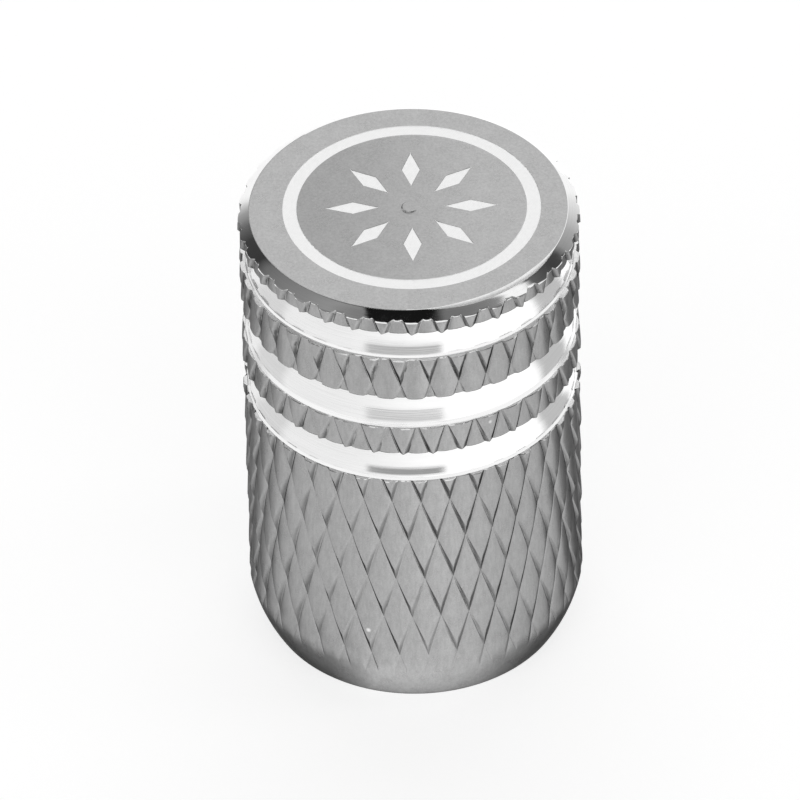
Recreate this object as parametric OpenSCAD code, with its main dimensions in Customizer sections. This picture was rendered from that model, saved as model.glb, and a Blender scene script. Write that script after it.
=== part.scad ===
// Tyre valve cap: one turned and knurled metal cap with a rubber sealing washer in its blind bore.
// It stands on its open rim, on the origin, with its closed end up. Its front is towards -Y.

/* [Overall] */
// Diameter across the tops of the knurl
cap_d = 10.5; // [9.6:0.1:16]
// Height from the open rim to the closed face
cap_h = 15.65; // [14.5:0.05:30]

/* [Closed end] */
// How far the edge of the closed face is turned in
face_chamfer_w = 0.42; // [0.2:0.02:0.7]
// How far that chamfer comes down the side
face_chamfer_h = 0.29; // [0.15:0.01:0.6]

/* [Knurl] */
// Grooves that run each way round the cap
knurl_starts = 36; // [24:1:40]
// Slant of the grooves from the cap's axis, in degrees
knurl_slant = 16.5; // [12:0.1:30]
// Lean of both sets of grooves together, to the left going up, in degrees
knurl_lean = 1.3; // [0:0.1:2.5]
// Depth of the V grooves
knurl_depth = 0.16; // [0.1:0.01:0.25]
// Width across a V groove, square to it
knurl_groove_w = 0.3; // [0.2:0.01:0.36]
// Height at which two grooves cross
knurl_crossing_z = 8.22; // [7:0.01:9]
// How far that crossing is turned from the front, in degrees
knurl_turn = 2.1; // [0:0.1:10]

/* [Turned rings] */
// Knurled height left between the chamfer and the first ring
top_band_h = 0.41; // [0.2:0.01:1.2]
// Width of the first ring, next to the closed end
ring_1_w = 1.03; // [0.6:0.01:1.3]
// Knurled height between the first and second rings
second_band_h = 1.5; // [0.6:0.01:1.8]
// Width of the second ring
ring_2_w = 1.18; // [0.6:0.01:1.3]
// Knurled height between the second and third rings
third_band_h = 1.01; // [0.6:0.01:1.4]
// Width of the third ring
ring_3_w = 1.1; // [0.6:0.01:1.3]
// Depth of the rings below the tops of the knurl
ring_depth = 0.32; // [0.28:0.01:0.4]
// Radius in the floor corners of the rings
ring_corner = 0.1; // [0.04:0.01:0.12]

/* [Foot] */
// Height of the rounded, smooth foot
foot_h = 1.85; // [1:0.05:2.4]
// Radius of the arc that rounds the foot
foot_arc = 4.6; // [4.2:0.1:8]
// Angle between that arc and the side where they meet, in degrees
foot_lead = 6; // [4:0.5:12]

/* [Bore and seal] */
// Diameter over the thread of the valve that the cap screws on
valve_thread_d = 7.75; // [7.2:0.05:7.9]
// Clearance round that thread, on the diameter
thread_clearance = 0.1; // [0.04:0.01:0.2]
// Depth of the threaded bore, from the rim to the washer's pocket
thread_len = 9.4; // [6:0.1:10]
// How far the bore's mouth is turned open, on the radius
mouth_chamfer = 0.28; // [0.1:0.01:0.3]
// Diameter of the rubber washer, held behind the thread
seal_d = 8.2; // [8.1:0.05:8.4]
// Thickness of the washer
seal_t = 1.3; // [0.6:0.05:1.6]
// Diameter of the hole in the washer
seal_hole_d = 3.2; // [1:0.1:5]
// Clearance round the washer in its pocket, and below it
seal_clearance = 0.05; // [0.02:0.01:0.1]

/* [Hidden] */
$fn = 96;
cap_r = cap_d / 2;
cut = 1;
bore_d = valve_thread_d + thread_clearance;
pocket_d = seal_d + 2 * seal_clearance;
pocket_top = thread_len + seal_clearance + seal_t;
rings = [
    [cap_h - face_chamfer_h - top_band_h, ring_1_w],
    [cap_h - face_chamfer_h - top_band_h - ring_1_w - second_band_h, ring_2_w],
    [cap_h - face_chamfer_h - top_band_h - ring_1_w - second_band_h - ring_2_w - third_band_h, ring_3_w]
];

// The knurl is a net of crossings. Crossing i of row j lies half a pitch further round on odd rows.
half_pitch = 180 / knurl_starts;
row_h = cap_r * half_pitch * PI / 180 / tan(knurl_slant);
corner_turn = knurl_groove_w / 2 / cos(knurl_slant) / cap_r * 180 / PI;
corner_rise = row_h * corner_turn / half_pitch;
low_row = floor(-knurl_crossing_z / row_h) - 1;
high_row = ceil((cap_h - knurl_crossing_z) / row_h) + 1;

function row_z(row) = knurl_crossing_z + row * row_h;
function odd(row) = abs(row) % 2;
function lean_turn(rise) = -rise * tan(knurl_lean) / cap_r * 180 / PI;
function crossing_turn(i, row) = knurl_turn - 90 + (2 * i + odd(row)) * half_pitch + lean_turn(row * row_h);
function on_bar(radius, turn, z) = [radius * cos(turn), radius * sin(turn), z];

// Groove crossings, row by row
crossings = [
    for (row = [low_row : high_row])
        for (i = [0 : knurl_starts - 1])
            on_bar(cap_r - knurl_depth, crossing_turn(i, row), row_z(row))
];

// Corners of each land, which lies between crossings i and i + 1: left, top, right, bottom
lands = [
    for (row = [low_row + 1 : high_row - 1])
        for (i = [0 : knurl_starts - 1])
            let (middle = crossing_turn(i, row) + half_pitch)
            let (across = half_pitch - corner_turn)
            let (up = row_h - corner_rise)
            each [
                on_bar(cap_r, middle - across, row_z(row)),
                on_bar(cap_r, middle + lean_turn(up), row_z(row) + up),
                on_bar(cap_r, middle + across, row_z(row)),
                on_bar(cap_r, middle - lean_turn(up), row_z(row) - up)
            ]
];
end_points = [[0, 0, row_z(low_row)], [0, 0, row_z(high_row)]];

function crossing_no(i, row) = (row - low_row) * knurl_starts + (i + knurl_starts) % knurl_starts;
function land_no(i, row) = len(crossings) + 4 * ((row - low_row - 1) * knurl_starts + i);
function end_no(end) = len(crossings) + len(lands) + end;

// A land is two facets, and four walls run down from it to the grooves round it
function land_faces(i, row) =
    let (left = crossing_no(i, row))
    let (right = crossing_no(i + 1, row))
    let (above = crossing_no(i + odd(row), row + 1))
    let (below = crossing_no(i + odd(row), row - 1))
    let (land = land_no(i, row))
    [
        [land, land + 1, land + 3],
        [land + 1, land + 2, land + 3],
        [left, above, land + 1],
        [left, land + 1, land],
        [above, right, land + 2],
        [above, land + 2, land + 1],
        [right, below, land + 3],
        [right, land + 3, land + 2],
        [below, left, land],
        [below, land, land + 3]
    ];

knurl_faces = [
    for (row = [low_row + 1 : high_row - 1])
        for (i = [0 : knurl_starts - 1])
            each land_faces(i, row)
];

// Each end of the bar is closed by a fan over the zigzag of its last two rows
end_faces = [
    for (i = [0 : knurl_starts - 1])
        each [
            [crossing_no(i, low_row + 1), crossing_no(i + odd(low_row + 1), low_row), end_no(0)],
            [crossing_no(i + odd(low_row + 1), low_row), crossing_no(i + 1, low_row + 1), end_no(0)],
            [crossing_no(i + odd(high_row - 1), high_row), crossing_no(i, high_row - 1), end_no(1)],
            [crossing_no(i + 1, high_row - 1), crossing_no(i + odd(high_row - 1), high_row), end_no(1)]
        ]
];

// A bar of diamond knurl, longer than the cap at both ends
module knurled_bar() {
    polyhedron(points = concat(crossings, lands, end_points), faces = concat(knurl_faces, end_faces));
}

// Section of one turned ring, cut inwards from the side, with its upper edge at top
module ring_section(top, width) {
    floor_r = cap_r - ring_depth;
    translate([floor_r + ring_corner, top - width])
        square([ring_depth + cut, width]);
    translate([floor_r, top - width + ring_corner])
        square([ring_depth, width - 2 * ring_corner]);
    for (z = [top - ring_corner, top - width + ring_corner])
        translate([floor_r + ring_corner, z])
            circle(ring_corner);
}

// Section outside the arc that rounds the foot, up to where the arc is widest
module foot_section() {
    arc_x = cap_r - foot_arc * cos(foot_lead);
    arc_z = foot_h + foot_arc * sin(foot_lead);
    difference() {
        translate([arc_x, -cut])
            square([foot_arc + cut, arc_z + cut]);
        translate([arc_x, arc_z])
            circle(foot_arc);
    }
}

// Section outside the chamfer of the closed face
module chamfer_section() {
    slope = face_chamfer_h / face_chamfer_w;
    polygon([
        [cap_r - face_chamfer_w - cut, cap_h + cut * slope],
        [cap_r + cut, cap_h - face_chamfer_h - cut * slope],
        [cap_r + cut, cap_h + cut * slope]
    ]);
}

// What the lathe leaves of the bar
module turned_form() {
    rotate_extrude()
        difference() {
            square([cap_r + cut / 2, cap_h]);
            chamfer_section();
            foot_section();
            for (ring = rings)
                ring_section(ring[0], ring[1]);
        }
}

// Blind bore: open mouth, thread at its full diameter, and the washer's pocket behind it
module valve_bore() {
    translate([0, 0, -cut])
        cylinder(d = bore_d, h = thread_len + 2 * cut);
    translate([0, 0, -cut])
        cylinder(d1 = bore_d + 2 * (mouth_chamfer + cut), d2 = bore_d, h = mouth_chamfer + cut);
    translate([0, 0, thread_len])
        cylinder(d = pocket_d, h = pocket_top - thread_len);
}

module cap_body() {
    color("silver")
        difference() {
            intersection() {
                knurled_bar();
                turned_form();
            }
            valve_bore();
        }
}

module seal_washer() {
    color("#202020")
        translate([0, 0, pocket_top - seal_t])
            difference() {
                cylinder(d = seal_d, h = seal_t);
                translate([0, 0, -cut])
                    cylinder(d = seal_hole_d, h = seal_t + 2 * cut);
            }
}

cap_body();
seal_washer();
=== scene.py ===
# %% [markdown]
# # A knurled metal cap for a tyre valve
#
# The real cap is a short aluminium bar. It is rolled with a diamond knurl and dyed a satin grey. Then
# the lathe cuts it again: three rings and the edge of the closed end go back to bare, bright metal.
# A thread runs up the blind bore, and a rubber washer sits at the end of it.
#
# The fixed model gives the sizes. Here each surface is made again with more points, so that edges
# catch the light, and gets its finish. First the model is loaded, and its box is kept, because
# nothing made here may reach past it.

# %% Load the fixed model
import bpy
import numpy as np
from mathutils import Matrix


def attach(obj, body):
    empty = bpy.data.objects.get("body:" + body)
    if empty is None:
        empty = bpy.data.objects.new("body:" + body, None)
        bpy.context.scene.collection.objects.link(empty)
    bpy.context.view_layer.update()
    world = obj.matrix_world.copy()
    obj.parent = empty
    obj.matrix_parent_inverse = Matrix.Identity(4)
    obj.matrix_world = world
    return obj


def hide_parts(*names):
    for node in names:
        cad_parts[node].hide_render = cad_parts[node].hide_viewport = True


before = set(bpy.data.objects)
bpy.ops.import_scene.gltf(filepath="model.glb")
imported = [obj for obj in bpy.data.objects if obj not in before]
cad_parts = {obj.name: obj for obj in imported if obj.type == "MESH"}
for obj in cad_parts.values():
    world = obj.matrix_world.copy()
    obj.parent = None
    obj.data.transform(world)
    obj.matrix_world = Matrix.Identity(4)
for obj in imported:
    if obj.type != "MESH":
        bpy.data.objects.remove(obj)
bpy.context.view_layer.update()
MM = 0.001


def node_points(name):
    """The corners of one node of the fixed model, in millimetres, one row each."""
    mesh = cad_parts[name].data
    flat = np.empty(len(mesh.vertices) * 3, np.float32)
    mesh.vertices.foreach_get("co", flat)
    return flat.reshape(-1, 3).astype(float) / MM


body_points = node_points("cap_body")
cap_r = np.hypot(body_points[:, 0], body_points[:, 1]).max()
cap_h = body_points[:, 2].max()
seal_points = node_points("seal_washer")
seal_r = np.hypot(seal_points[:, 0], seal_points[:, 1]).max()
seal_hole_r = np.hypot(seal_points[:, 0], seal_points[:, 1]).min()
seal_low, seal_high = seal_points[:, 2].min(), seal_points[:, 2].max()
print(f"cap: {2 * cap_r:.2f} mm across, {cap_h:.2f} mm high; washer: {2 * seal_r:.2f} mm across")

# %% [markdown]
# ## Sizes
#
# A lathe part is told by a few numbers: where each ring starts and ends, how deep it is, and how the
# ends are turned. They are in millimetres and degrees here, in the order in which a turner would read
# them, from the closed end down. The knurl needs its count, its slant, and the depth and width of a
# groove.

# %% Sizes, in millimetres and degrees
chamfer_w = 0.42
chamfer_h = 0.29
ring_depth = 0.32
ring_corner = 0.04
ring_tops = np.array([14.95, 12.42, 10.23])
ring_lows = np.array([13.92, 11.24, 9.13])

knurl_starts = 36
knurl_slant = 16.5
knurl_lean = 1.3
knurl_depth = 0.16
knurl_groove_w = 0.36
knurl_crossing_z = 8.22
knurl_turn = 2.1

foot_h = 1.85
foot_arc = 4.6
foot_lead = 6

bore_r = 3.925
mouth_chamfer = 0.28
thread_top = 9.4
pocket_r = 4.15
pocket_top = 10.75
thread_pitch = 0.794
thread_depth = 0.43

half_pitch = 180 / knurl_starts
pitch = 2 * half_pitch
row_h = cap_r * np.radians(half_pitch) / np.tan(np.radians(knurl_slant))
wall_turn = np.degrees(knurl_groove_w / 2 / np.cos(np.radians(knurl_slant)) / cap_r)
print(f"grooves cross every {row_h:.3f} mm; a groove is {2 * wall_turn:.2f} degrees wide")

# %% [markdown]
# ## The camera
#
# The photograph looks down at the cap from about 40 degrees, from far away and with a long lens, so
# its upright lines hardly lean together. The camera is placed by the point that it looks at, how far
# back it stands and how much it is rolled. A long lens from far away could be swapped for a short one
# close by, but then the top face would look too large.

# %% Camera
frame_px = 800
lens_px = 8718
sensor_mm = 36
camera_rise = np.radians(40.3)
camera_roll = np.radians(-1.29)
camera_far = 268.72
aim = np.array([-0.39, 0, 8.04])

back = np.array([0, -np.cos(camera_rise), np.sin(camera_rise)])
side = np.array([1.0, 0, 0])
up = np.cross(back, side)
camera_x = np.cos(camera_roll) * side + np.sin(camera_roll) * up
camera_y = -np.sin(camera_roll) * side + np.cos(camera_roll) * up

place = np.eye(4)
place[:3, 0] = camera_x
place[:3, 1] = camera_y
place[:3, 2] = back
place[:3, 3] = (aim + camera_far * back) * MM

camera = bpy.data.objects.new("camera", bpy.data.cameras.new("camera"))
camera.data.sensor_width = sensor_mm
camera.data.lens = lens_px / frame_px * sensor_mm
camera.data.clip_start = 0.01
camera.data.clip_end = 10
camera.matrix_world = Matrix(place.tolist())
bpy.context.scene.collection.objects.link(camera)
bpy.context.scene.camera = camera
print(f"camera: {camera.data.lens:.0f} mm lens, {camera_far:.0f} mm away")

# %% [markdown]
# ## How the skin is put together
#
# The whole cap is one closed skin. It is made of loops of points round the axis, written in the order
# in which a finger would follow the cap's section: out over the closed face, down the side, in across
# the rim, and up the bore. Two neighbouring loops with as many points are joined by four-sided faces.
# Where a fine loop meets a coarse one they are zipped: each point of either loop gets one triangle.
# A single lathe profile spun round would be simpler, but the knurl isn't round.

# %% Loops and strips
# Numbers of the finishes, in the order in which the cap's materials are added further down
SATIN, BRIGHT, POLISHED, FROSTED, BORE, TORN = range(6)
sharp_from = 22
plain_columns = 180
plain_turns = knurl_turn + 360 / plain_columns * np.arange(plain_columns)


def loop(radius, turn, z):
    """Points at a radius, an angle from the front and a height. Each is one number, or one for each
    point."""
    radius, turn, z = np.broadcast_arrays(radius, turn, z)
    angle = np.radians(turn - 90)
    return np.stack([radius * np.cos(angle), radius * np.sin(angle), z], axis=-1)


def quads(first, second, count):
    """Faces between two loops of count points that start at the indices first and second."""
    here = np.arange(count)
    there = (here + 1) % count
    return np.stack([first + here, second + here, second + there, first + there], axis=1)


def three_rounds(turns):
    """The angles of a loop, once more a round before and a round after, so that a search can't fall off."""
    return np.concatenate([turns - 360, turns, turns + 360])


def zipped(first, first_turns, second, second_turns):
    """Triangles between two loops of unlike counts. Each step along one loop is a triangle whose tip
    is the last point passed on the other loop, counting both by their angles."""
    n, m = len(first_turns), len(second_turns)
    first_on = np.append(first_turns[1:], first_turns[0] + 360)
    second_on = np.append(second_turns[1:], second_turns[0] + 360)
    tip = (np.searchsorted(three_rounds(second_turns), first_on, side="left") - 1) % m
    along = np.arange(n)
    one = np.stack([first + along, second + tip, first + (along + 1) % n], axis=1)
    tip = (np.searchsorted(three_rounds(first_turns), second_on, side="right") - 1) % n
    along = np.arange(m)
    other = np.stack([first + tip, second + along, second + (along + 1) % m], axis=1)
    return np.concatenate([one, other])


def fan(middle, first, count, outwards):
    """Triangles from one point to a loop. The order of their corners says which way they face."""
    here = np.arange(count)
    there = (here + 1) % count
    ends = (here, there) if outwards else (there, here)
    return np.stack([np.full(count, middle), first + ends[0], first + ends[1]], axis=1)


def build_piece(name, points, faces, finishes, relief=None):
    """A mesh object from points in millimetres, a list of face arrays and a finish for each face. The
    relief, if given, says how deep in a groove each point is, and is kept for the finishes to read."""
    mesh = bpy.data.meshes.new(name)
    mesh.from_pydata((points * MM).tolist(), [], [row for block in faces for row in block.tolist()])
    mesh.polygons.foreach_set("material_index", np.concatenate(finishes).astype(np.int32))
    mesh.shade_smooth()
    mesh.set_sharp_from_angle(angle=np.radians(sharp_from))
    if relief is not None:
        mesh.attributes.new("relief", "FLOAT", "POINT").data.foreach_set("value", relief.astype(np.float32))
    mesh.update()
    made = bpy.data.objects.new(name, mesh)
    bpy.context.scene.collection.objects.link(made)
    triangles = sum(len(block) * (block.shape[1] - 2) for block in faces)
    print(f"{name}: {len(points)} points, {triangles} triangles")
    return made


# %% [markdown]
# ## The diamond knurl
#
# Two wheels roll 36 grooves each way round the bar. Unrolled, each groove is a straight line, and the
# two families cross in rows. An even grid would cut across the grooves and make their edges ragged.
# So the columns of this grid run along the grooves: between two crossings a column drifts sideways
# with its groove, and at a crossing it bounces back with the groove of the other family. Each pitch
# has four such half-cells, from a groove to the middle of a land.

# %% Columns that follow the grooves
column_levels = np.array([0, 0.25, 0.6, 1, 1.15, 1.5])
cells_apart = 0.12
widest_wall = 0.92
groove_spread = (1.35, 0.85)


def nearest(turn):
    """Distance from an angle to the nearest whole number of pitches."""
    return np.abs((turn + half_pitch) % pitch - half_pitch)


def drift(z):
    """How far a groove has turned at a height, counted from the crossing that is known."""
    return (z - knurl_crossing_z) / row_h * half_pitch


def lean(z):
    """How far both families together have turned to the left there, since the wheels stood at a slant."""
    return -np.degrees((z - knurl_crossing_z) * np.tan(np.radians(knurl_lean)) / cap_r)


def from_groove(level, half_cell, wall):
    """Distance from a groove at a level: level 1 is the top of its wall, and level 2 the land's middle."""
    wall = np.minimum(wall, widest_wall * half_cell)
    return np.where(level <= 1, level * wall, wall + (level - 1) * (half_cell - wall))


def knurl_turns(z, inner_wall, outer_wall):
    """Angles of every column at the heights z, one row for each height. At a height the grooves lie at
    whole pitches plus and minus e, where e runs up and down between 0 and half a pitch. The walls of
    the inner land, between minus e and plus e, and of the outer one have their own widths. While e
    grows, the groove at plus e is of the family that runs to the right, which is the broader one."""
    e = np.clip(nearest(drift(z)), cells_apart, half_pitch - cells_apart)[:, None]
    grows = (drift(z) % pitch < half_pitch)[:, None]
    at_plus = np.where(grows, groove_spread[0], groove_spread[1])
    at_minus = np.where(grows, groove_spread[1], groove_spread[0])
    out = column_levels
    back_in = np.append(2, column_levels[:0:-1])
    inner = from_groove(back_in, e, at_plus * inner_wall[:, None])
    outer = from_groove(out, half_pitch - e, at_plus * outer_wall[:, None])
    outer_back = from_groove(back_in, half_pitch - e, at_minus * outer_wall[:, None])
    inner_out = from_groove(out, e, at_minus * inner_wall[:, None])
    one = np.concatenate([e - inner, e + outer, pitch - e - outer_back, pitch - e + inner_out], axis=1)
    every = one[:, None, :] + pitch * np.arange(knurl_starts)[None, :, None]
    return knurl_turn + lean(z)[:, None] + every.reshape(len(z), -1)


column_count = 4 * len(column_levels) * knurl_starts
print(f"{column_count} columns round the knurl")

# %% [markdown]
# The lands lie like scales. The lower tip of each one stands up to the full height, and its two upper
# edges sink nearly to the bottom of the grooves, under the tips of the lands above. So the grooves show
# as short dark Vs, one round each lower tip, and fade out upwards. Rolling also leaves no two lands quite
# alike: each swells a little and ends a few hundredths lower or higher. A table of seeded random
# numbers, one for each land and each groove, gives that, so the same cap comes out every time.

# %% Height of the knurled surface
chance = np.random.default_rng(36)
groove_share = chance.uniform(0.88, 1.0, (2, knurl_starts))
land_drop = chance.uniform(0, 0.012, (knurl_starts, knurl_starts))
land_lean = chance.uniform(-0.022, 0.022, (2, knurl_starts, knurl_starts))
dome_h = 0.022
groove_round = 0.2
groove_shoulder = 1.5
land_sink = 0.88
land_bend = 1.5
uneven_until = 0.02
press_heights = (1.2, 2.2, 4.5, 10)
press_shares = (0.45, 0.7, 0.85, 1)


def press(z):
    """Depth of the grooves at a height: the wheels pressed a little less towards the foot."""
    return knurl_depth * np.interp(z, press_heights, press_shares)


def soft_ramp(t, softness):
    """0 for t below 0 and t above it, with the corner rounded over softness: the mean of t and the
    root of the two squares' sum."""
    return (t + np.sqrt(t * t + softness * softness)) / 2


def v_cut(x):
    """A V that is 1 deep at x = 0 and ends at x = 1. The square root in it rounds its bottom, and the
    power to which it is raised rounds its shoulders."""
    rim, bottom = np.hypot(1, groove_round), groove_round
    return np.maximum((rim - np.hypot(x, groove_round)) / (rim - bottom), 0) ** groove_shoulder


def v_edge(y):
    """Where the V is y deep: the reverse of v_cut."""
    rim, bottom = np.hypot(1, groove_round), groove_round
    return np.sqrt(np.maximum((rim - y ** (1 / groove_shoulder) * (rim - bottom)) ** 2 - bottom**2, 0))


def land_sunk(one, other):
    """How far a point of a land has sunk: 0 at its lower tip and 1 all along its two upper edges. The
    shares of a pitch that it lies from those edges are multiplied, and what is missing to 1 is bent by
    a power, so that the land is flat at its tip and falls away behind it."""
    return (1 - one % pitch / pitch * (1 - other % pitch / pitch)) ** land_bend


def knurl_radius(turn, z, turned):
    """Full radius, less the V groove of the nearer family or the slope of the land, whichever is deeper,
    less a dome that falls with the square of the distance from the land's middle, less what rolling
    left of that land. Never more than the lathe leaves, and plain where the lathe has cut. How deep
    in a groove each point lies comes back too, from 0 to 1."""
    one = turn - knurl_turn - lean(z) - drift(z)
    other = turn - knurl_turn - lean(z) + drift(z)
    a, b = nearest(one), nearest(other)
    fade = np.clip(1 - (cap_r - turned) / uneven_until, 0, 1)
    share_a = 1 - (1 - groove_share[0][np.round(one / pitch).astype(int) % knurl_starts]) * fade
    share_b = 1 - (1 - groove_share[1][np.round(other / pitch).astype(int) % knurl_starts]) * fade
    wide, narrow = wall_turn * groove_spread[0], wall_turn * groove_spread[1]
    groove = np.maximum(share_a * v_cut(a / wide), share_b * v_cut(b / narrow))
    sunk = land_sink * land_sunk(one, other)
    cut = press(z) * np.maximum(groove, sunk)
    dome = dome_h * ((1 - a / half_pitch) ** 2 + (1 - b / half_pitch) ** 2)
    land = tuple(np.floor(way / pitch).astype(int) % knurl_starts for way in (one, other))
    tilt = land_lean[0][land] * (one % pitch / pitch - 0.5)
    tilt = tilt + land_lean[1][land] * (other % pitch / pitch - 0.5)
    uneven = (land_drop[land] + np.abs(tilt)) * np.minimum(a, b) / half_pitch
    return np.minimum(cap_r - cut, turned) - (dome + uneven) * fade, np.maximum(groove - sunk, 0) * fade


# %% [markdown]
# The lathe's outline limits the knurl: the grooves run out where the foot's arc or the chamfer is
# already deeper than they are. The wall of a groove is narrower there, so the columns close in and
# end each groove in a clean point.

# %% The lathe's outline
arc_x = cap_r - foot_arc * np.cos(np.radians(foot_lead))
arc_z = foot_h + foot_arc * np.sin(np.radians(foot_lead))
foot_softness = 0.012
least_wall = 0.02


def turned_radius(z):
    """Radius of the plain bar: an arc at the foot, the full radius, and a cone at the chamfer."""
    arc = arc_x + np.sqrt(foot_arc**2 - (arc_z - np.minimum(z, arc_z)) ** 2)
    foot = soft_ramp(cap_r - arc, foot_softness)
    cone = np.maximum(z - (cap_h - chamfer_h), 0) * chamfer_w / chamfer_h
    return cap_r - foot - cone


def wall_width(z, rise):
    """Width of a groove's wall at a height: it ends where the land, or what the lathe left, is as deep.
    The rise says how far up its own land the place is, and from half way up the edge is fully sunk."""
    sunk = land_sink * np.minimum(2 * rise, 1) ** land_bend
    depth = np.maximum(sunk, (cap_r - turned_radius(z)) / press(z))
    return wall_turn * np.clip(v_edge(depth), least_wall, 1)


def knurl_rows(z):
    """Loops of the knurled side at the heights z, from the top down: their radii, the angles of their
    points, and how deep in a groove each point lies."""
    inner_rise = drift(z) % pitch / pitch
    outer_rise = (drift(z) - half_pitch) % pitch / pitch
    turns = knurl_turns(z, wall_width(z, inner_rise), wall_width(z, outer_rise))
    radius, groove = knurl_radius(turns, z[:, None], turned_radius(z)[:, None])
    return radius, turns, groove


row_marks = np.array([0, 0.03, 0.16, 0.3, 0.43, 0.57, 0.7, 0.84, 0.97])
edge_round = 0.02


def knurl_heights(high, low):
    """Heights of the rows of one knurled band, from the top down, closer together at its edges and
    at the crossings."""
    marks = (knurl_crossing_z + row_h * (np.arange(-8, 8)[:, None] + row_marks)).ravel()
    inside = marks[(marks > low + 2 * edge_round) & (marks < high - 2 * edge_round)]
    return np.concatenate([[high, high - edge_round], inside[::-1], [low + edge_round, low]])


print(f"foot: radius {turned_radius(np.array([0.0]))[0]:.2f} mm at the rim")

# %% [markdown]
# ## The closed face
#
# The face is satin, with a bright line turned near its edge and a small pip where the lathe's centre
# stood. Inside the line is a plain rosette of eight lozenges, marked by a laser that takes the dye off
# and leaves frosted metal. The marks could be painted by a material alone. Here they are real, a
# hundredth of a millimetre deep, so the columns run along the edges of the lozenges, and a pair of
# close columns makes each edge.

# %% Loops of the closed face
ring_mark = (3.49, 3.917)
mark_place = np.array([0.096, 0.07])
mark_depth = 0.012
mark_edge = 0.006
border_from = 0.1
border_blend = 0.5
lozenges = 8
lozenge_middle = 1.8
lozenge_length = 1.6
lozenge_width = 0.56
lozenge_tip = 0.012
pip_place = np.array([0.02, 0.08])
pip_reach = 0.6
sector = 360 / lozenges
inside_levels = np.linspace(-1, 1, 5)
outside_levels = np.linspace(0, 1, 15)


def face_loop(radius):
    """One loop of the face. In each sector some points span the lozenge and the rest span the gap. The
    loops are centred on the pip in the middle, on the marks further out, and on the axis at the edge."""
    along = 1 - np.abs(radius - lozenge_middle) / (lozenge_length / 2)
    half = max(lozenge_width / 2 * along, lozenge_tip)
    reach = np.degrees(half / radius)
    edge = np.degrees(mark_edge / radius)
    inside = inside_levels * (reach - edge)
    outside = reach + edge + outside_levels * (sector - 2 * (reach + edge))
    one = np.concatenate([inside, outside])
    turns = (np.arange(lozenges)[:, None] * sector + one).ravel()
    marked = np.tile(np.arange(len(one)) < len(inside), lozenges) & (along > 0)
    ringed = ring_mark[0] < radius < ring_mark[1]
    sunk = mark_depth * np.minimum(half / (2 * lozenge_tip), 1) * marked + mark_depth * ringed
    points = loop(radius, turns, cap_h - sunk)
    on_pip = max(1 - radius / pip_reach, 0)
    on_border = np.clip((radius - ring_mark[1] - border_from) / border_blend, 0, 1)
    points[:, :2] += pip_place * on_pip + mark_place * (1 - on_pip) * (1 - on_border)
    return points, turns


def face_radii():
    """Radii of the loops from the pip outwards, with a close pair at each edge of the ring."""
    pip = [0.08, 0.16, 0.22, 0.235, 0.245, 0.265, 0.275, 0.29, 0.33, 0.4, 0.5, 0.7, 0.9]
    rosette = [0.99, 1.02, 1.1, 1.25, 1.4, 1.6, 1.8, 2.0, 2.2, 2.35, 2.5, 2.58, 2.61, 2.8, 3.15]
    ring = [ring_mark[0] - mark_edge, ring_mark[0] + mark_edge, 3.65, 3.8]
    border = [ring_mark[1] - mark_edge, ring_mark[1] + mark_edge, 4.15, 4.4, 4.62, 4.74]
    return pip + rosette + ring + border


pip_radius = 0.255
pip_edge = 0.02
pip_deep_turn = -48
dish_depth = 0.045
dish_radius = 0.95


def pip_sink(radius, turns):
    """A shallow dish round the middle, deeper on one side, and in it the pip, which stands up to the face
    again. The depth falls off with the square of the way out, and with a power of the cosine of the
    angle from the deep side."""
    lopsided = (0.5 + 0.5 * np.cos(np.radians(turns - pip_deep_turn))) ** 1.5
    dish = dish_depth * np.clip((dish_radius - radius) / (dish_radius - pip_radius), 0, 1) ** 2
    return lopsided * dish * np.clip((radius - pip_radius + pip_edge) / (2 * pip_edge), 0, 1)


# %% [markdown]
# ## Rings, rim and bore
#
# These are plain turned surfaces, so each is a short list of radii and heights. The floor of a ring is
# straight in its upper part. Lower down it leans outwards in short stretches, by 5 to 17 degrees, as
# the tool drew away in small steps, and it ends in a steeper ramp. Each stretch mirrors another piece
# of the floor in front of the cap, so they show as fine lines. The rim is a flat ring with its two
# edges broken, and behind it the bore opens into the pocket that holds the washer.

# %% Turned sections
corner_steps = np.radians(np.linspace(0, 90, 5))
floor_r = cap_r - ring_depth
ring_leans = [
    [(0.38, 0), (0.35, 12), (0.27, 5), (0.24, 10), (0.15, 6), (0.12, 11), (0.07, 6), (0, 31)],
    [(0.60, 0), (0.56, 10), (0.48, 7), (0.44, 11), (0.38, 7), (0.34, 11), (0.24, 7), (0.2, 11),
     (0.12, 7), (0, 30)],
    [(0.52, 0), (0.42, 7), (0.34, 11), (0.28, 15), (0.2, 17), (0.14, 12), (0.08, 6), (0, 34)],
]


def ring_section(top, low, leans):
    """Radii and heights of one ring, from its upper corner down its floor. The floor is a chain of short
    straight stretches, each given by the height above the lower edge where it ends and by how many
    degrees it leans outwards. A stretch goes out by its height times the tangent of its lean."""
    upper_r = floor_r + ring_corner * (1 - np.sin(corner_steps))
    upper_z = top - ring_corner * (1 - np.cos(corner_steps))
    ends, degrees = np.array(leans).T
    tall = -np.diff(ends, prepend=top - low - ring_corner)
    out = np.cumsum(tall * np.tan(np.radians(degrees)))
    return np.concatenate([upper_r, floor_r + out]), np.concatenate([upper_z, low + ends])


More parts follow.
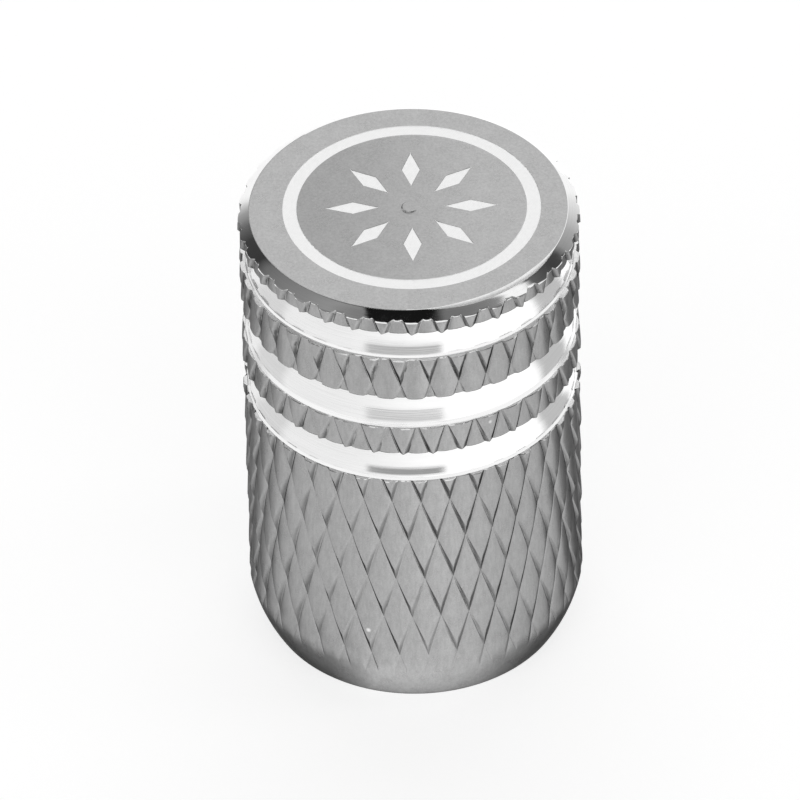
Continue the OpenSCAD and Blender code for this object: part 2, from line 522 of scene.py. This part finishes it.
rim_edge = 0.05
rim_r = turned_radius(np.array([0.0]))[0]
mouth_r = bore_r + mouth_chamfer
bore_halfway = 4.8
mouth_radii = [rim_r - rim_edge, mouth_r + rim_edge, mouth_r - 0.3 * rim_edge]
bore_radii = np.array(mouth_radii + [bore_r, bore_r, bore_r, pocket_r])
bore_heights = np.array([0, 0, 0.5 * rim_edge, mouth_chamfer, bore_halfway, thread_top, thread_top])
pocket_radii = np.array([pocket_r, pocket_r, pocket_r - 0.12, 2.0, 0.2])
pocket_heights = np.array([thread_top + 0.05, pocket_top - 0.12, pocket_top, pocket_top, pocket_top])

# %% [markdown]
# Now the loops are collected in order. Each strip between two loops has a finish: satin on the face,
# the knurl and the foot, bright metal on the chamfer and the rings, and torn metal on the ledges under
# the rings. The closed face comes first, from the pip outwards.

# %% Loops of the closed face, in order
loops = []


def add_loop(points, turns, finish, groove=0.0):
    """Adds a loop. Its finish is the one of the strip that leads to it, a number or one for each face."""
    loops.append((points, turns, finish, np.broadcast_to(groove, len(turns))))


pip_centre = np.append(pip_place, cap_h)
previous_radius = 0
for radius in face_radii():
    points, turns = face_loop(radius)
    points[:, 2] -= pip_sink(radius, turns)
    middle = (radius + previous_radius) / 2
    inside = np.arange(len(inside_levels) + len(outside_levels)) < len(inside_levels) - 1
    in_lozenge = np.tile(inside, lozenges) & (abs(middle - lozenge_middle) < lozenge_length / 2)
    in_ring = ring_mark[0] - mark_edge < middle < ring_mark[1] + mark_edge
    add_loop(points, turns, np.where(in_lozenge | in_ring, FROSTED, SATIN))
    previous_radius = radius
print(f"closed face: {len(loops)} loops")

# %% [markdown]
# The face and the chamfer meet in a rounded edge. It is too narrow to see except on two stretches,
# where the tool ran off: a satin one on the left, which shows as a dark line of burr and painted shade, and
# a broad torn one, which shows pale, on the right.

# %% Edge of the closed face
edge_steps = 5
edge_turns_at = (-150, -120, -8, 4, 20, 50, 66)
edge_widths = (0.012, 0.03, 0.03, 0.012, 0.09, 0.09, 0.012)


def from_front(turns):
    """The same angles, counted from -180 to 180 degrees."""
    return (turns + 180) % 360 - 180


def face_edge(turns, step):
    """Radius and drop of the rounded edge between the face and the chamfer: an arc that touches both. It
    is a hair wide, but the tool ran off and left it broad on two stretches."""
    slope = np.arctan2(chamfer_h, chamfer_w)
    width = np.interp(from_front(turns), edge_turns_at, edge_widths)
    arc = width / np.tan(slope / 2)
    angle = slope * step / (edge_steps - 1)
    return cap_r - chamfer_w - width + arc * np.sin(angle), arc * (1 - np.cos(angle))


thin_wall = np.full(1, least_wall * wall_turn)
edge_turns = knurl_turns(np.full(1, cap_h), thin_wall, thin_wall)[0]
on_left = (from_front(edge_turns) > -140) & (from_front(edge_turns) < -2)
on_right = (from_front(edge_turns) > 6) & (from_front(edge_turns) < 62)
# the satin stretch on the left stands in for a dark line of burr and painted shade
edge_finish = np.where(on_left, SATIN, np.where(on_right, TORN, POLISHED))
for step in range(edge_steps):
    edge_r, edge_drop = face_edge(edge_turns, step)
    add_loop(loop(edge_r, edge_turns, cap_h - edge_drop), edge_turns, SATIN if step == 0 else edge_finish)

# %% [markdown]
# The chamfer is cut after the knurl is rolled. It doesn't reach the grooves and the sunk lands, so they
# stay satin there, which gives the grey crown that shows against the polished edge.

# %% Chamfer
chamfer_z = cap_h - np.array([0.1, 0.155, 0.18, 0.2, 0.22, 0.24, 0.26, 0.28, chamfer_h])
rolled_from = 0.006
chamfer_radius, chamfer_turns, chamfer_groove = knurl_rows(chamfer_z)
rolled = turned_radius(chamfer_z)[:, None] - chamfer_radius > rolled_from
rolled = rolled | np.roll(rolled, -1, axis=1)
for row in range(len(chamfer_z) - 1):
    above = rolled[row - 1] if row > 0 else False
    add_loop(
        loop(chamfer_radius[row], chamfer_turns[row], chamfer_z[row]),
        chamfer_turns[row],
        np.where(above & rolled[row], SATIN, POLISHED),
        chamfer_groove[row],
    )
print(f"chamfer: {rolled.mean():.0%} of it stays satin")

# %% [markdown]
# Four knurled bands follow, with a ring below each of the first three. The lathe leaves a small round
# on every edge of a band that it cuts.

# %% Knurled bands and rings
foot_top = 1.04
bands = list(zip(np.append(chamfer_z[-1], ring_lows), np.append(ring_tops, foot_top)))


def add_band(z, rounded_top, rounded_low, finish_above):
    """Adds the loops of one knurled band, with its first and last edges broken where a ring cuts it."""
    radius, turns, groove = knurl_rows(z)
    radius[0] -= edge_round * rounded_top
    radius[-1] -= edge_round * rounded_low
    for row in range(len(z)):
        above = finish_above if row == 0 else SATIN
        add_loop(loop(radius[row], turns[row], z[row]), turns[row], above, groove[row])


for number, (high, low) in enumerate(bands):
    last = number == len(bands) - 1
    above = SATIN if number == 0 else TORN
    add_band(knurl_heights(high, low), number > 0, not last, above)
    if not last:
        ring_r, ring_z = ring_section(ring_tops[number], ring_lows[number], ring_leans[number])
        for r, z in zip(ring_r, ring_z):
            add_loop(loop(r, plain_turns, z), plain_turns, BRIGHT)
print(f"bands from {bands[0][0]:.2f} mm down to {foot_top} mm, {len(loops)} loops so far")

# %% [markdown]
# The foot closes in by its arc to the rim. From there the loops turn inwards, and run up the bore to
# the flat end of the washer's pocket.

# %% Foot and bore
foot_z = np.array([0.9, 0.7, 0.5, 0.3, 0.15, 0.05, 0.015])
foot_edge = 0.012
foot_radius, foot_turns, foot_groove = knurl_rows(foot_z)
foot_radius[-1] -= foot_edge
for row in range(len(foot_z)):
    add_loop(loop(foot_radius[row], foot_turns[row], foot_z[row]), foot_turns[row], SATIN, foot_groove[row])
for r, z in zip(bore_radii, bore_heights):
    add_loop(loop(r, plain_turns, z), plain_turns, SATIN if r > mouth_r else BORE)
for r, z in zip(pocket_radii, pocket_heights):
    add_loop(loop(r, plain_turns, z), plain_turns, BORE)

# %% [markdown]
# Last, every loop is joined to the one before it, and both ends are closed by a fan round a middle
# point. The skin could be made of several objects that only touch. As one closed surface it has an
# inside and an outside, so that its volume can be measured.

# %% Join the loops
starts = np.cumsum([0] + [len(entry[1]) for entry in loops])
faces, finishes = [], []
for number in range(1, len(loops)):
    before, after = loops[number - 1], loops[number]
    if len(before[1]) == len(after[1]):
        strip = quads(starts[number - 1], starts[number], len(after[1]))
    else:
        strip = zipped(starts[number - 1], before[1], starts[number], after[1])
    faces.append(strip)
    finish = after[2] if len(strip) == len(after[1]) else np.max(after[2])
    finishes.append(np.broadcast_to(finish, len(strip)))
top_middle, bore_middle = starts[-1], starts[-1] + 1
faces.append(fan(top_middle, 0, len(loops[0][1]), True))
faces.append(fan(bore_middle, starts[-2], len(loops[-1][1]), False))
finishes.append(np.full(len(faces[-2]), SATIN))
finishes.append(np.full(len(faces[-1]), BORE))
ends = np.array([pip_centre, [0, 0, pocket_top]])
skin_points = np.concatenate([entry[0] for entry in loops] + [ends])
skin_relief = np.concatenate([entry[3] for entry in loops] + [np.zeros(2)])
cap_skin = build_piece("cap_skin", skin_points, faces, finishes, skin_relief)

# %% [markdown]
# ## The thread in the bore
#
# The bore of the fixed model has the thread's full diameter. The ridge between the turns of the groove
# stands in from it: a right-hand screw, 32 turns to the inch, with flanks at 60 degrees. It is made by
# carrying a small section along a helix, and its height grows from nothing at both ends, as a tap
# leaves it. Its foot is sunk a little into the bore's wall. Cutting the thread into the wall itself
# would be truer, but the two ends of such a twisted band of faces are hard to close.

# %% Thread ridge
helix_steps = 96
run_out = 150
thread_low, thread_high = 0.62, 8.95
thread_sunk = 0.03
crest_half = 0.06
base_half = crest_half + thread_depth * np.tan(np.radians(30))
section_in = np.array([-thread_sunk, 0, 0.9, 1.0, 1.0, 0.9, 0, -thread_sunk])
half_z = np.array([crest_half, crest_half + 0.02, base_half, base_half + 0.015])
section_z = np.append(-half_z[::-1], half_z)


def thread_points(count):
    """A section carried up a helix: its place rises by one pitch a turn. Its height is the ridge's share
    at each step, which grows to 1 over the degrees of the run-out, from both ends."""
    turn = np.linspace(0, (thread_high - thread_low) / thread_pitch * 360, count)
    share = np.clip(np.minimum(turn, turn[-1] - turn) / run_out, 0.02, 1)[:, None]
    inwards = np.where(section_in > 0, section_in * thread_depth * share, section_in)
    rise = thread_low + turn[:, None] / 360 * thread_pitch + section_z * np.where(section_in > 0, 1, share)
    return loop(bore_r - inwards, turn[:, None], rise)


thread_count = int((thread_high - thread_low) / thread_pitch * helix_steps)
thread_grid = thread_points(thread_count)
corners = thread_grid.shape[1]
first = np.arange(thread_count - 1)[:, None] * corners + np.arange(corners)
second = np.arange(thread_count - 1)[:, None] * corners + (np.arange(corners) + 1) % corners
thread_faces = np.stack([first, second, second + corners, first + corners], axis=-1).reshape(-1, 4)
end_faces = np.stack([np.arange(corners)[::-1], np.arange(corners) + (thread_count - 1) * corners])
thread = build_piece(
    "bore_thread",
    thread_grid.reshape(-1, 3),
    [thread_faces, end_faces],
    [np.zeros(len(thread_faces)), np.zeros(2)],
)

# %% [markdown]
# ## The rubber washer
#
# The washer is a moulded ring with soft edges. Its outline is a rounded rectangle, spun round the axis
# as a grid of two angles: one round the section and one round the cap.

# %% Washer
seal_round = 0.14
seal_columns = 120
section_steps = np.radians(np.linspace(0, 90, 6))


def washer_section():
    """A rectangle with four rounded corners, walked round once."""
    middle = np.array([(seal_r + seal_hole_r) / 2, (seal_low + seal_high) / 2])
    half = np.array([(seal_r - seal_hole_r) / 2, (seal_high - seal_low) / 2]) - seal_round
    quarter = np.arange(4)[:, None] * np.pi / 2
    angle = quarter + section_steps
    signs = np.stack([np.cos(quarter + np.pi / 4), np.sin(quarter + np.pi / 4)], axis=-1)
    corner = middle + half * np.sign(signs)
    return (corner + seal_round * np.stack([np.cos(angle), np.sin(angle)], axis=-1)).reshape(-1, 2)


seal_section = washer_section()
seal_turns = np.arange(seal_columns) * 360 / seal_columns
seal_grid = loop(seal_section[:, :1], seal_turns[None, :], seal_section[:, 1:])
seal_rows = len(seal_section)
row = np.arange(seal_rows)[:, None]
column = np.arange(seal_columns)[None, :]
next_row = (row + 1) % seal_rows
next_column = (column + 1) % seal_columns
seal_faces = np.stack(
    [row * seal_columns + column, row * seal_columns + next_column,
     next_row * seal_columns + next_column, next_row * seal_columns + column], axis=-1
).reshape(-1, 4)
washer = build_piece("rubber_washer", seal_grid.reshape(-1, 3), [seal_faces], [np.zeros(len(seal_faces))])

# %% [markdown]
# ## Finishes
#
# Metal has no colour of its own to paint: it shows what stands round it, tinted and blurred. So each
# finish is a base tint, a roughness and a fine bump. The helper adds a node, and takes either a plain
# number or the output of another node for each input.

# %% Node helpers
def add_node(tree, kind, settings=None, **inputs):
    """Adds a node. A named input takes a value, or another node's output."""
    made = tree.nodes.new(kind)
    for name, value in (settings or {}).items():
        setattr(made, name, value)
    for name, value in inputs.items():
        plug(tree, made.inputs[name.replace("_", " ")], value)
    return made


def plug(tree, socket, value):
    """Links an output to a socket, or sets the socket's own value."""
    if isinstance(value, bpy.types.NodeSocket):
        tree.links.new(value, socket)
    else:
        socket.default_value = value


def math(tree, operation, *values):
    """One arithmetic step on numbers or outputs."""
    made = tree.nodes.new("ShaderNodeMath")
    made.operation = operation
    for socket, value in zip(made.inputs, values):
        plug(tree, socket, value)
    return made.outputs[0]


def spread(tree, value, low, high, to_low, to_high):
    """Maps a value from one range to another, with soft ends and nothing outside."""
    made = add_node(tree, "ShaderNodeMapRange", {"interpolation_type": "SMOOTHSTEP"}, Value=value)
    made.inputs["From Min"].default_value = low
    made.inputs["From Max"].default_value = high
    made.inputs["To Min"].default_value = to_low
    made.inputs["To Max"].default_value = to_high
    return made.outputs["Result"]


def blend(tree, share, first, second):
    """A number between first and second."""
    made = tree.nodes.new("ShaderNodeMix")
    plug(tree, made.inputs[0], share)
    plug(tree, made.inputs[2], first)
    plug(tree, made.inputs[3], second)
    return made.outputs[0]


def noise(tree, vector, size_mm, detail=2.0, roughness=0.5):
    """Noise whose blotches are about size_mm across."""
    made = add_node(tree, "ShaderNodeTexNoise", Vector=vector, Scale=1 / (size_mm * MM))
    made.inputs["Detail"].default_value = detail
    made.inputs["Roughness"].default_value = roughness
    return made.outputs["Fac"]


def new_finish(name):
    """A material with its node tree, its surface shader and the object's own coordinates."""
    material = bpy.data.materials.new(name)
    material.use_nodes = True
    tree = material.node_tree
    shader = tree.nodes["Principled BSDF"]
    here = tree.nodes.new("ShaderNodeTexCoord").outputs["Object"]
    return material, tree, shader, here


def grey(tree, level):
    """A neutral colour from one number."""
    made = tree.nodes.new("ShaderNodeCombineColor")
    for socket in made.inputs:
        plug(tree, socket, level)
    return made.outputs[0]


def bump(tree, shader, height, depth_mm, strength=1.0):
    """A bump of a real depth on a shader."""
    made = add_node(tree, "ShaderNodeBump", Height=height, Distance=depth_mm * MM, Strength=strength)
    plug(tree, shader.inputs["Normal"], made.outputs[0])


# %% [markdown]
# The satin grey is dyed aluminium. Up close it has a very fine grain and slightly darker and lighter
# patches, drawn out up and down by the wheels. The side is a little darker than the face, and painted
# shade darkens it further towards the right and darkens the face on its left inside its bright line.
# The grooves carry painted shade, more towards the closed end, broken by ragged dark streaks of painted
# shade, and a few nicks show bright metal. Where the lathe cut a ring, the knurl's lower edges carry a
# ragged dark line of burr and painted shadow, and its upper edges a broken bright one. Seen flat, dyed metal
# turns dark before it shines, which is the edge tint.

# %% Satin grey
nicks = [(-2.6, 8.23, 0.09), (26.7, 11.02, 0.12), (-17.0, 3.01, 0.12), (112.0, 5.4, 0.08),
         (203.0, 12.9, 0.09)]


def near_line(tree, height, lines, thick_mm):
    """1 at any of some heights, falling to 0 at thick_mm above and below it."""
    share = 0.0
    for z in lines:
        away = math(tree, "ABSOLUTE", math(tree, "SUBTRACT", height, z * MM))
        share = math(tree, "MAXIMUM", share, spread(tree, away, 0.3 * thick_mm * MM, thick_mm * MM, 1, 0))
    return share


def side_and_face_shade(tree, sideways, onward, height):
    """Painted shade as a share of the level: one for the side, a little darker than the face and darker
    towards the right, and one for the closed face, darker on its left inside the ring mark.
    """
    flat = add_node(tree, "ShaderNodeCombineXYZ", X=sideways, Y=onward).outputs[0]
    from_axis = add_node(tree, "ShaderNodeVectorMath", {"operation": "LENGTH"}, Vector=flat)
    in_mark = math(tree, "LESS_THAN", from_axis.outputs["Value"], ring_mark[0] * MM)
    on_side = spread(tree, sideways, 0.2 * MM, 3 * MM, 0.87, 0.7)
    on_face = blend(tree, in_mark, 1.0, spread(tree, sideways, -3.4 * MM, 3.2 * MM, 0.78, 1))
    return blend(tree, spread(tree, height, 15.4 * MM, 15.6 * MM, 0, 1), on_side, on_face)


def streak_and_edge_shade(tree, here, height, streaks, relief):
    """1 for painted shade: in ragged streaks down the grooves, mostly near the closed end, and in a ragged
    line of burr and painted shadow at each lower edge of the knurl."""
    # painted shade in streaks, only where the grooves are deep
    groove_streak_shade = spread(tree, streaks, 0.52, 0.6, 0, 1)
    groove_streak_shade = math(tree, "MULTIPLY", groove_streak_shade, spread(tree, relief, 0.15, 0.4, 0, 1))
    groove_streak_shade = math(tree, "MULTIPLY", groove_streak_shade, spread(tree, height, 8 * MM, 12 * MM, 0.15, 0.85))
    ragged = spread(tree, noise(tree, here, 0.22, 2), 0.42, 0.56, 0, 1)
    # painted shadow with burr, in a ragged line along each lower edge of the knurl
    edge_shadow_line = math(tree, "MULTIPLY", near_line(tree, height, ring_tops, 0.05), ragged)
    return math(tree, "MAXIMUM", groove_streak_shade, edge_shadow_line)


def bare_bright(tree, here, height):
    """1 where bare metal shows: in a broken line at each upper edge of the knurl, and in the nicks."""
    bright_edge = near_line(tree, height, ring_lows, 0.04)
    bright = math(tree, "MULTIPLY", bright_edge, spread(tree, noise(tree, here, 0.3, 2), 0.5, 0.58, 0, 1))
    for turn, z, size_mm in nicks:
        away = add_node(tree, "ShaderNodeVectorMath", {"operation": "DISTANCE"})
        plug(tree, away.inputs[0], here)
        away.inputs[1].default_value = (loop(cap_r, turn, z) * MM).tolist()
        spot = spread(tree, away.outputs["Value"], 0.4 * size_mm * MM, size_mm * MM, 1, 0)
        bright = math(tree, "MAXIMUM", bright, spot)
    return bright


def satin_grey():
    """The dyed metal's own level, with painted shade in the grooves, on the right of the side and the left
    of the face, in streaks and at the knurl's lower edges, then the bare spots."""
    material, tree, shader, here = new_finish("satin_grey")
    sideways, onward, height = add_node(tree, "ShaderNodeSeparateXYZ", Vector=here).outputs
    drawn = add_node(tree, "ShaderNodeVectorMath", {"operation": "MULTIPLY"})
    plug(tree, drawn.inputs[0], here)
    drawn.inputs[1].default_value = (1, 1, 0.25)
    patches = noise(tree, here, 0.5, 3)
    streaks = noise(tree, drawn.outputs[0], 0.1, 3, 0.6)
    grain = noise(tree, here, 0.04, 2)
    level = spread(tree, patches, 0.3, 0.7, 0.48, 0.52)
    level = math(tree, "ADD", level, spread(tree, grain, 0.25, 0.75, -0.035, 0.035))
    level = math(tree, "ADD", level, spread(tree, streaks, 0.3, 0.7, -0.03, 0.03))
    relief = add_node(tree, "ShaderNodeAttribute", {"attribute_name": "relief"}).outputs["Fac"]
    # painted shade in the grooves, stronger higher up and in blotches
    deep = spread(tree, height, 4 * MM, 11 * MM, 0.5, 0.24)
    deep = math(tree, "ADD", deep, spread(tree, noise(tree, here, 0.9, 1), 0.35, 0.65, 0.0, 0.22))
    level = math(tree, "MULTIPLY", level, blend(tree, spread(tree, relief, 0.08, 0.72, 0, 1), 1.0, deep))
    # painted shade: the side darker towards the right, the face darker on its left inside the ring mark
    level = math(tree, "MULTIPLY", level, side_and_face_shade(tree, sideways, onward, height))
    # painted shade in streaks down the grooves, and painted shadow along the knurl's lower edges
    level = blend(tree, streak_and_edge_shade(tree, here, height, streaks, relief), level, 0.12)
    level = blend(tree, bare_bright(tree, here, height), level, 0.92)
    plug(tree, shader.inputs["Base Color"], grey(tree, level))
    plug(tree, shader.inputs["Roughness"], spread(tree, patches, 0.3, 0.7, 0.27, 0.32))
    shader.inputs["Metallic"].default_value = 1
    shader.inputs["Specular Tint"].default_value = (0.22, 0.22, 0.22, 1)
    bump(tree, shader, math(tree, "ADD", grain, streaks), 0.0022)
    return material


# %% [markdown]
# The rings and the chamfer are cut bright. The tool leaves fine lines round the axis, so their pattern
# is a noise that changes quickly with radius and height and slowly with the angle. The chamfer was cut
# last and slowest: it is the same metal, but smoother and with a few smudges. The ledges under the
# rings are torn rather than cut, so they are rough.

# %% Bright cut metal
def round_the_axis(tree, here, squeeze):
    """Coordinates made of radius, height and a little of the angle, so that noise runs in rings."""
    parts = add_node(tree, "ShaderNodeSeparateXYZ", Vector=here).outputs
    squares = math(tree, "MULTIPLY", parts[0], parts[0])
    squares = math(tree, "ADD", squares, math(tree, "MULTIPLY", parts[1], parts[1]))
    joined = tree.nodes.new("ShaderNodeCombineXYZ")
    plug(tree, joined.inputs[0], math(tree, "SQRT", squares))
    plug(tree, joined.inputs[1], math(tree, "MULTIPLY", parts[0], squeeze))
    plug(tree, joined.inputs[2], parts[2])
    return joined.outputs[0]


def cut_metal(name, low_level, high_level, rough_low, rough_high, depth_mm):
    """Bare metal with turning lines: two brightnesses, two roughnesses and the depth of the lines."""
    material, tree, shader, here = new_finish(name)
    rings = round_the_axis(tree, here, 0.02)
    lines = noise(tree, rings, 0.035, 3, 0.6)
    wide_lines = noise(tree, rings, 0.16, 2)
    smudges = noise(tree, here, 0.5, 3)
    plug(tree, shader.inputs["Base Color"], grey(tree, spread(tree, lines, 0.3, 0.7, low_level, high_level)))
    plug(tree, shader.inputs["Roughness"], spread(tree, smudges, 0.4, 0.7, rough_low, rough_high))
    shader.inputs["Metallic"].default_value = 1
    bump(tree, shader, math(tree, "ADD", lines, wide_lines), depth_mm)
    return material


# %% [markdown]
# A laser mark is a field of fine parallel strokes. They are drawn by a wave texture across the mark,
# with a little noise to break it up.

# %% Frosted marks
stroke_mm = 0.12


def frosted_mark():
    """Bare metal under slanting strokes, which are a wave of brightness and of height."""
    material, tree, shader, here = new_finish("frosted_mark")
    wave = add_node(tree, "ShaderNodeTexWave", {"bands_direction": "DIAGONAL"}, Vector=here)
    wave.inputs["Scale"].default_value = 1 / (stroke_mm * MM)
    wave.inputs["Distortion"].default_value = 1.2
    strokes = wave.outputs["Fac"]
    plug(tree, shader.inputs["Base Color"], grey(tree, spread(tree, strokes, 0, 1, 0.88, 0.95)))
    plug(tree, shader.inputs["Roughness"], spread(tree, noise(tree, here, 0.06, 2), 0.3, 0.7, 0.3, 0.42))
    shader.inputs["Metallic"].default_value = 1
    bump(tree, shader, strokes, 0.0015)
    return material


# %% [markdown]
# The bore is bare metal as the drill and the tap left it, a little duller than the rings. The washer is
# black rubber: not metal, rough, and with a slight mottle from its mould.

# %% Rubber
def black_rubber():
    """Nearly black, with a mottle in its level and its roughness, and a finer bump."""
    material, tree, shader, here = new_finish("black_rubber")
    mottle = noise(tree, here, 0.35, 4, 0.6)
    plug(tree, shader.inputs["Base Color"], grey(tree, spread(tree, mottle, 0.3, 0.7, 0.018, 0.03)))
    plug(tree, shader.inputs["Roughness"], spread(tree, mottle, 0.3, 0.7, 0.55, 0.7))
    bump(tree, shader, noise(tree, here, 0.08, 3), 0.006)
    return material


bare_bore = (0.62, 0.74, 0.22, 0.34, 0.004)
cap_skin.data.materials.append(satin_grey())
cap_skin.data.materials.append(cut_metal("bright_cut", 0.88, 0.95, 0.07, 0.14, 0.0018))
cap_skin.data.materials.append(cut_metal("polished_edge", 0.9, 0.94, 0.05, 0.12, 0.0006))
cap_skin.data.materials.append(frosted_mark())
cap_skin.data.materials.append(cut_metal("bore_metal", *bare_bore))
cap_skin.data.materials.append(cut_metal("torn_edge", 0.9, 0.98, 0.4, 0.55, 0.005))
thread.data.materials.append(cut_metal("thread_metal", *bare_bore))
washer.data.materials.append(black_rubber())
for node, material in (("cap_body", cap_skin.data.materials[0]), ("seal_washer", washer.data.materials[0])):
    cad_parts[node].data.materials.clear()
    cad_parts[node].data.materials.append(material)
print("finishes:", ", ".join(material.name for material in cap_skin.data.materials))

# %% [markdown]
# ## Floor, tent and light
#
# A shiny part is lit by what it reflects. The world is a white tent with cards in it, as a product
# studio sets them up. Overhead hang a row of grey cards on the left, a black card in the middle, and
# on the right another grey row with a strip of white in it. The polished chamfer shows them one after
# another, as it curves round. A white wall stands behind, and a small dark card low in front. The
# camera itself sees plain white.

# %% World
def between(tree, value, low, high, soft):
    """1 between low and high, falling to 0 over soft on both sides."""
    rise = spread(tree, value, low - soft, low + soft, 0, 1)
    fall = spread(tree, value, high - soft, high + soft, 1, 0)
    return math(tree, "MULTIPLY", rise, fall)


def card_row(tree, onward, cards):
    """The brightness of a row of cards that hang one behind another. Each is given as how far onward it
    is, from -1 to 1, and how bright."""
    made = add_node(tree, "ShaderNodeValToRGB", Fac=math(tree, "MULTIPLY_ADD", onward, 0.5, 0.5))
    stops = made.color_ramp.elements
    while len(stops) < len(cards):
        stops.new(0.5)
    for stop, (place, strength) in zip(stops, cards):
        stop.position = (place + 1) / 2
        stop.color = (strength, strength, strength, 1)
    return made.outputs["Color"]


left_cards = [(-0.40, 0.20), (-0.24, 0.21), (-0.13, 0.29), (0.01, 0.24), (0.17, 0.20), (0.34, 0.15),
              (0.42, 0.04), (0.60, 0.05), (0.70, 0.14), (0.78, 0.35), (0.88, 1.0)]
right_cards = [(-0.40, 0.15), (-0.24, 0.18), (-0.10, 0.24), (-0.05, 1.0), (0.07, 1.0), (0.12, 0.12),
               (0.30, 0.05), (0.40, 0.06), (0.48, 0.3), (0.62, 0.42), (0.76, 0.72), (0.88, 1.0)]

black_card = 0.008
dark_card = 0.05
dark_card_sides = (-0.47, 0.31)
dark_card_low, dark_card_high = -0.3, 0.25
rear_wall_half = 0.52

world = bpy.data.worlds.new("tent")
bpy.context.scene.world = world
world.use_nodes = True
tree = world.node_tree
direction = tree.nodes.new("ShaderNodeTexCoord").outputs["Generated"]
sideways, onward, upward = add_node(tree, "ShaderNodeSeparateXYZ", Vector=direction).outputs
card_foot = spread(tree, onward, 0.3, 0.62, 0.42, 0.04)
overhead = spread(tree, math(tree, "SUBTRACT", upward, card_foot), -0.04, 0.04, 0, 1)
overhead = math(tree, "MULTIPLY", overhead, spread(tree, onward, -0.48, -0.40, 0, 1))
rear_wall = between(tree, sideways, -rear_wall_half, rear_wall_half, 0.04)
rear_wall = math(tree, "MULTIPLY", spread(tree, onward, 0.15, 0.35, 0, 1), rear_wall)
hung = math(tree, "MULTIPLY", overhead, math(tree, "SUBTRACT", 1.0, rear_wall))
past_left = spread(tree, sideways, -0.31, -0.28, 0, 1)
past_middle = spread(tree, sideways, 0.15, 0.23, 0, 1)
level = blend(tree, past_left, card_row(tree, onward, left_cards), black_card)
level = blend(tree, past_middle, level, card_row(tree, onward, right_cards))
tent = blend(tree, hung, 1.0, level)
low_card = between(tree, upward, dark_card_low, dark_card_high, 0.04)
low_card = math(tree, "MULTIPLY", low_card, between(tree, sideways, *dark_card_sides, 0.03))
low_card = math(tree, "MULTIPLY", low_card, spread(tree, onward, -0.3, -0.5, 0, 1))
tent = blend(tree, low_card, tent, dark_card)
seen = tree.nodes.new("ShaderNodeLightPath").outputs["Is Camera Ray"]
plug(tree, tree.nodes["Background"].inputs["Strength"], blend(tree, seen, tent, 1.0))
tree.nodes["Background"].inputs["Color"].default_value = (1, 1, 1, 1)

# %% [markdown]
# The floor is pale and keeps the cap's soft shadow. It is lit up to white for the camera. For
# reflections it glows in a painted pattern: brighter to the right than to the left, and darker close to
# the cap at its two sides, which is a painted contact shadow. It is also darker in a wedge to either
# side, which the rings show where they turn away, and far out in front, under the camera, both painted
# shade. Real floors differ in the same way, and without it the sides of the cap would look as flat as its
# front.

# %% Floor
floor_half = 400
floor_mesh = bpy.data.meshes.new("floor")
floor_corners = np.array([[-1, -1, 0], [1, -1, 0], [1, 1, 0], [-1, 1, 0]]) * floor_half * MM
floor_mesh.from_pydata(floor_corners.tolist(), [], [[0, 1, 2, 3]])
floor = bpy.data.objects.new("floor", floor_mesh)
bpy.context.scene.collection.objects.link(floor)

# %% What the floor shows
# the floor's glow in reflections near the cap; its dark sides are a painted contact shadow
near_floor = [(-1, 0.2), (-0.78, 0.16), (-0.6, 0.2), (-0.44, 0.5), (-0.3, 0.95), (0.4, 0.95),
              (0.6, 0.55), (0.78, 0.26), (1, 0.2)]
pale, tree, shader, here = new_finish("pale_floor")
tree.nodes.remove(shader)
away = add_node(tree, "ShaderNodeVectorMath", {"operation": "LENGTH"})
plug(tree, away.inputs[0], here)
heading = add_node(tree, "ShaderNodeVectorMath", {"operation": "NORMALIZE"})
plug(tree, heading.inputs[0], here)
heading_x, heading_y = add_node(tree, "ShaderNodeSeparateXYZ", Vector=heading.outputs[0]).outputs[:2]
near_level = card_row(tree, heading_x, near_floor)
far_level = spread(tree, heading_x, -0.9, 0.5, 0.6, 0.85)
mirrored = blend(tree, spread(tree, away.outputs["Value"], 5.4 * MM, 8.5 * MM, 0, 1), near_level, far_level)
# painted shade: a darker wedge to either side of the cap
wedge_level = spread(tree, heading_x, -0.2, 0.2, 0.42, 0.25)
mirrored = blend(tree, between(tree, heading_y, -0.04, 0.46, 0.08), mirrored, wedge_level)
under_camera = between(tree, heading_x, *dark_card_sides, 0.04)
under_camera = math(tree, "MULTIPLY", spread(tree, heading_y, -0.6, -0.8, 0, 1), under_camera)
far_out = spread(tree, away.outputs["Value"], 22 * MM, 44 * MM, 0, 1)
under_camera = math(tree, "MULTIPLY", under_camera, far_out)
mirrored = blend(tree, under_camera, mirrored, dark_card)
path = tree.nodes.new("ShaderNodeLightPath").outputs
own_light = math(tree, "MAXIMUM", path["Is Glossy Ray"], path["Is Transmission Ray"])
own_light = math(tree, "MULTIPLY", own_light, mirrored)
own_light = math(tree, "MAXIMUM", own_light, math(tree, "MULTIPLY", path["Is Camera Ray"], 0.7))
lit = add_node(tree, "ShaderNodeEmission", Color=(1, 1, 1, 1), Strength=own_light)
matt = add_node(tree, "ShaderNodeBsdfDiffuse", Color=(0.5, 0.5, 0.5, 1))
both = tree.nodes.new("ShaderNodeAddShader")
plug(tree, both.inputs[0], lit.outputs[0])
plug(tree, both.inputs[1], matt.outputs[0])
plug(tree, tree.nodes["Material Output"].inputs["Surface"], both.outputs[0])
floor_mesh.materials.append(pale)

# %% View transform
bpy.context.scene.view_settings.view_transform = "Standard"

# %% [markdown]
# ## Attach the pieces
#
# Each piece rides on the cap's one body, and the cap and washer of the fixed model are hidden.

# %% Attach the pieces
for piece, slot in ((cap_skin, "aluminium"), (thread, "aluminium"), (washer, "rubber")):
    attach(piece, "root")
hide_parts("cap_body")
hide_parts("seal_washer")
